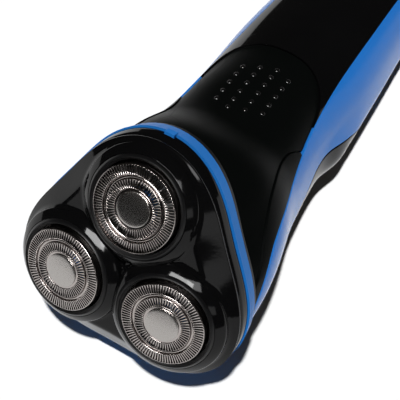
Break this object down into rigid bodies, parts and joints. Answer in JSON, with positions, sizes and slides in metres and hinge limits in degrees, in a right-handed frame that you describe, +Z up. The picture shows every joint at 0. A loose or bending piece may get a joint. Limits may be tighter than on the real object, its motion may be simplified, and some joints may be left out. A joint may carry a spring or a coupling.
{
  "type": "electric shaver",
  "caption": "Cordless rotary shaver: floating slotted guards over spinning cutters in a flip-up head, geared motor, battery handle with soft grip, button and charging inlet.",
  "frame": {"origin": "on the table under the middle of the bounding box, the shaver lying on its back", "axes": "+Y from the head to the base of the handle, +Z up, out of the front of the grip, +X to the right seen from above with the head nearest"},
  "size_m": [0.0636, 0.1684, 0.0652],
  "materials": {
    "gloss_black": "polished black ABS",
    "soft_black": "soft-touch black elastomer",
    "satin_black": "satin black ABS",
    "blue": "polished blue ABS",
    "foil_steel": "ground stainless steel",
    "steel": "plain steel",
    "blue_inner": "blue acetal",
    "acetal": "natural acetal",
    "ferrite": "ferrite",
    "bronze": "sintered bronze",
    "winding": "laminated core with copper windings",
    "cell_wrap": "shrink-wrapped cell",
    "board": "glass-epoxy board with parts",
    "light_pipe": "clear light pipe"
  },
  "bodies": {
    "body": {"head_hinge_pin": "steel", "accent_ring": "blue", "hair_tray": "satin_black", "tray_seal": "soft_black", "drive_frame": "satin_black", "motor_can": "steel", "motor_end_cap": "acetal", "motor_magnets": "ferrite", "motor_bushes": "bronze", "motor_screws": "steel", "front_shell": "gloss_black", "grip_panel": "soft_black", "grip_studs": "soft_black", "side_wings": "soft_black", "side_band_left": "blue", "side_band_right": "blue", "back_shell": "gloss_black", "base_cap": "gloss_black", "charging_inlet": "satin_black", "charging_pins": "bronze", "button_bezel": "steel", "charging_light": "light_pipe", "chassis": "acetal", "chassis_screws": "steel", "battery_cell": "cell_wrap", "battery_tabs": "steel", "circuit_board": "board"},
    "head": {"head_cap": "gloss_black", "pod_ring_front": "satin_black", "pod_ring_left": "satin_black", "pod_ring_right": "satin_black", "retaining_plate": "satin_black"},
    "lock_knob": {"lock_knob": "blue_inner"},
    "rotor": {"drive_gear": "acetal", "motor_shaft": "steel", "motor_armature": "winding"},
    "release_latch": {"release_latch": "blue"},
    "power_button": {"power_button": "satin_black"},
    "guard_front": {"guard_front": "foil_steel", "guard_disc_front": "foil_steel"},
    "cutter_front": {"cutter_front": "steel", "cutter_carrier_front": "blue_inner"},
    "gear_front": {"gear_front": "acetal"},
    "spindle_front": {"spindle_front": "steel", "spindle_spring_front": "steel"},
    "guard_left": {"guard_left": "foil_steel", "guard_disc_left": "foil_steel"},
    "cutter_left": {"cutter_left": "steel", "cutter_carrier_left": "blue_inner"},
    "gear_left": {"gear_left": "acetal"},
    "spindle_left": {"spindle_left": "steel", "spindle_spring_left": "steel"},
    "guard_right": {"guard_right": "foil_steel", "guard_disc_right": "foil_steel"},
    "cutter_right": {"cutter_right": "steel", "cutter_carrier_right": "blue_inner"},
    "gear_right": {"gear_right": "acetal"},
    "spindle_right": {"spindle_right": "steel", "spindle_spring_right": "steel"}
  },
  "joints": [
    {"name": "head_open", "type": "hinge", "parent": "body", "child": "head", "pos_m": [0, -0.07701, 0.01049], "axis": [1, 0, 0], "range_deg": [0, 90]},
    {"name": "rotor_spin", "type": "hinge", "parent": "body", "child": "rotor", "pos_m": [0, -0.07629, 0.0384], "axis": [0, -0.9135, 0.4067], "continuous": true},
    {"name": "lock_turn", "type": "hinge", "parent": "head", "child": "lock_knob", "pos_m": [0, -0.07629, 0.0384], "axis": [0, -0.9135, 0.4067], "range_deg": [0, 60]},
    {"name": "latch_press", "type": "slide", "parent": "body", "child": "release_latch", "axis": [0, -0.4067, -0.9135], "range_m": [0, 0.0006], "stiffness_N_per_m": 500, "springref_m": -0.0005},
    {"name": "button_press", "type": "slide", "parent": "body", "child": "power_button", "axis": [0, -0.0971, -0.9953], "range_m": [0, 0.0005], "stiffness_N_per_m": 1000, "springref_m": -0.0005},
    {"name": "float_front", "type": "slide", "parent": "head", "child": "guard_front", "axis": [0, 0.848, -0.5299], "range_m": [0, 0.0008], "stiffness_N_per_m": 500, "springref_m": -0.0005},
    {"name": "cutter_spin_front", "type": "hinge", "parent": "guard_front", "child": "cutter_front", "pos_m": [0, -0.06392, 0.05095], "axis": [0, -0.848, 0.5299], "continuous": true},
    {"name": "gear_spin_front", "type": "hinge", "parent": "body", "child": "gear_front", "pos_m": [0, -0.05497, 0.04697], "axis": [0, -0.9135, 0.4067], "continuous": true},
    {"name": "spindle_press_front", "type": "slide", "parent": "gear_front", "child": "spindle_front", "axis": [0, 0.9135, -0.4067], "range_m": [0, 0.0008], "deforming": ["spindle_spring_front"]},
    {"name": "float_left", "type": "slide", "parent": "head", "child": "guard_left", "axis": [0.0871, 0.9028, -0.4211], "range_m": [0, 0.0008], "stiffness_N_per_m": 500, "springref_m": -0.0005},
    {"name": "cutter_spin_left", "type": "hinge", "parent": "guard_left", "child": "cutter_left", "pos_m": [-0.01429, -0.07508, 0.02883], "axis": [-0.0871, -0.9028, 0.4211], "continuous": true},
    {"name": "gear_spin_left", "type": "hinge", "parent": "body", "child": "gear_left", "pos_m": [-0.01429, -0.06503, 0.02436], "axis": [0, -0.9135, 0.4067], "continuous": true},
    {"name": "spindle_press_left", "type": "slide", "parent": "gear_left", "child": "spindle_left", "axis": [0, 0.9135, -0.4067], "range_m": [0, 0.0008], "deforming": ["spindle_spring_left"]},
    {"name": "float_right", "type": "slide", "parent": "head", "child": "guard_right", "axis": [-0.0871, 0.9028, -0.4211], "range_m": [0, 0.0008], "stiffness_N_per_m": 500, "springref_m": -0.0005},
    {"name": "cutter_spin_right", "type": "hinge", "parent": "guard_right", "child": "cutter_right", "pos_m": [0.01429, -0.07508, 0.02883], "axis": [0.0871, -0.9028, 0.4211], "continuous": true},
    {"name": "gear_spin_right", "type": "hinge", "parent": "body", "child": "gear_right", "pos_m": [0.01429, -0.06503, 0.02436], "axis": [0, -0.9135, 0.4067], "continuous": true},
    {"name": "spindle_press_right", "type": "slide", "parent": "gear_right", "child": "spindle_right", "axis": [0, 0.9135, -0.4067], "range_m": [0, 0.0008], "deforming": ["spindle_spring_right"]}
  ],
  "couplings": [
    {"joint": "cutter_spin_front", "follows": "rotor_spin", "ratio": -0.5},
    {"joint": "gear_spin_front", "follows": "rotor_spin", "ratio": -0.5},
    {"joint": "spindle_press_front", "follows": "float_front", "ratio": 1},
    {"joint": "cutter_spin_left", "follows": "rotor_spin", "ratio": -0.5},
    {"joint": "gear_spin_left", "follows": "rotor_spin", "ratio": -0.5},
    {"joint": "spindle_press_left", "follows": "float_left", "ratio": 1},
    {"joint": "cutter_spin_right", "follows": "rotor_spin", "ratio": -0.5},
    {"joint": "gear_spin_right", "follows": "rotor_spin", "ratio": -0.5},
    {"joint": "spindle_press_right", "follows": "float_right", "ratio": 1}
  ]
}
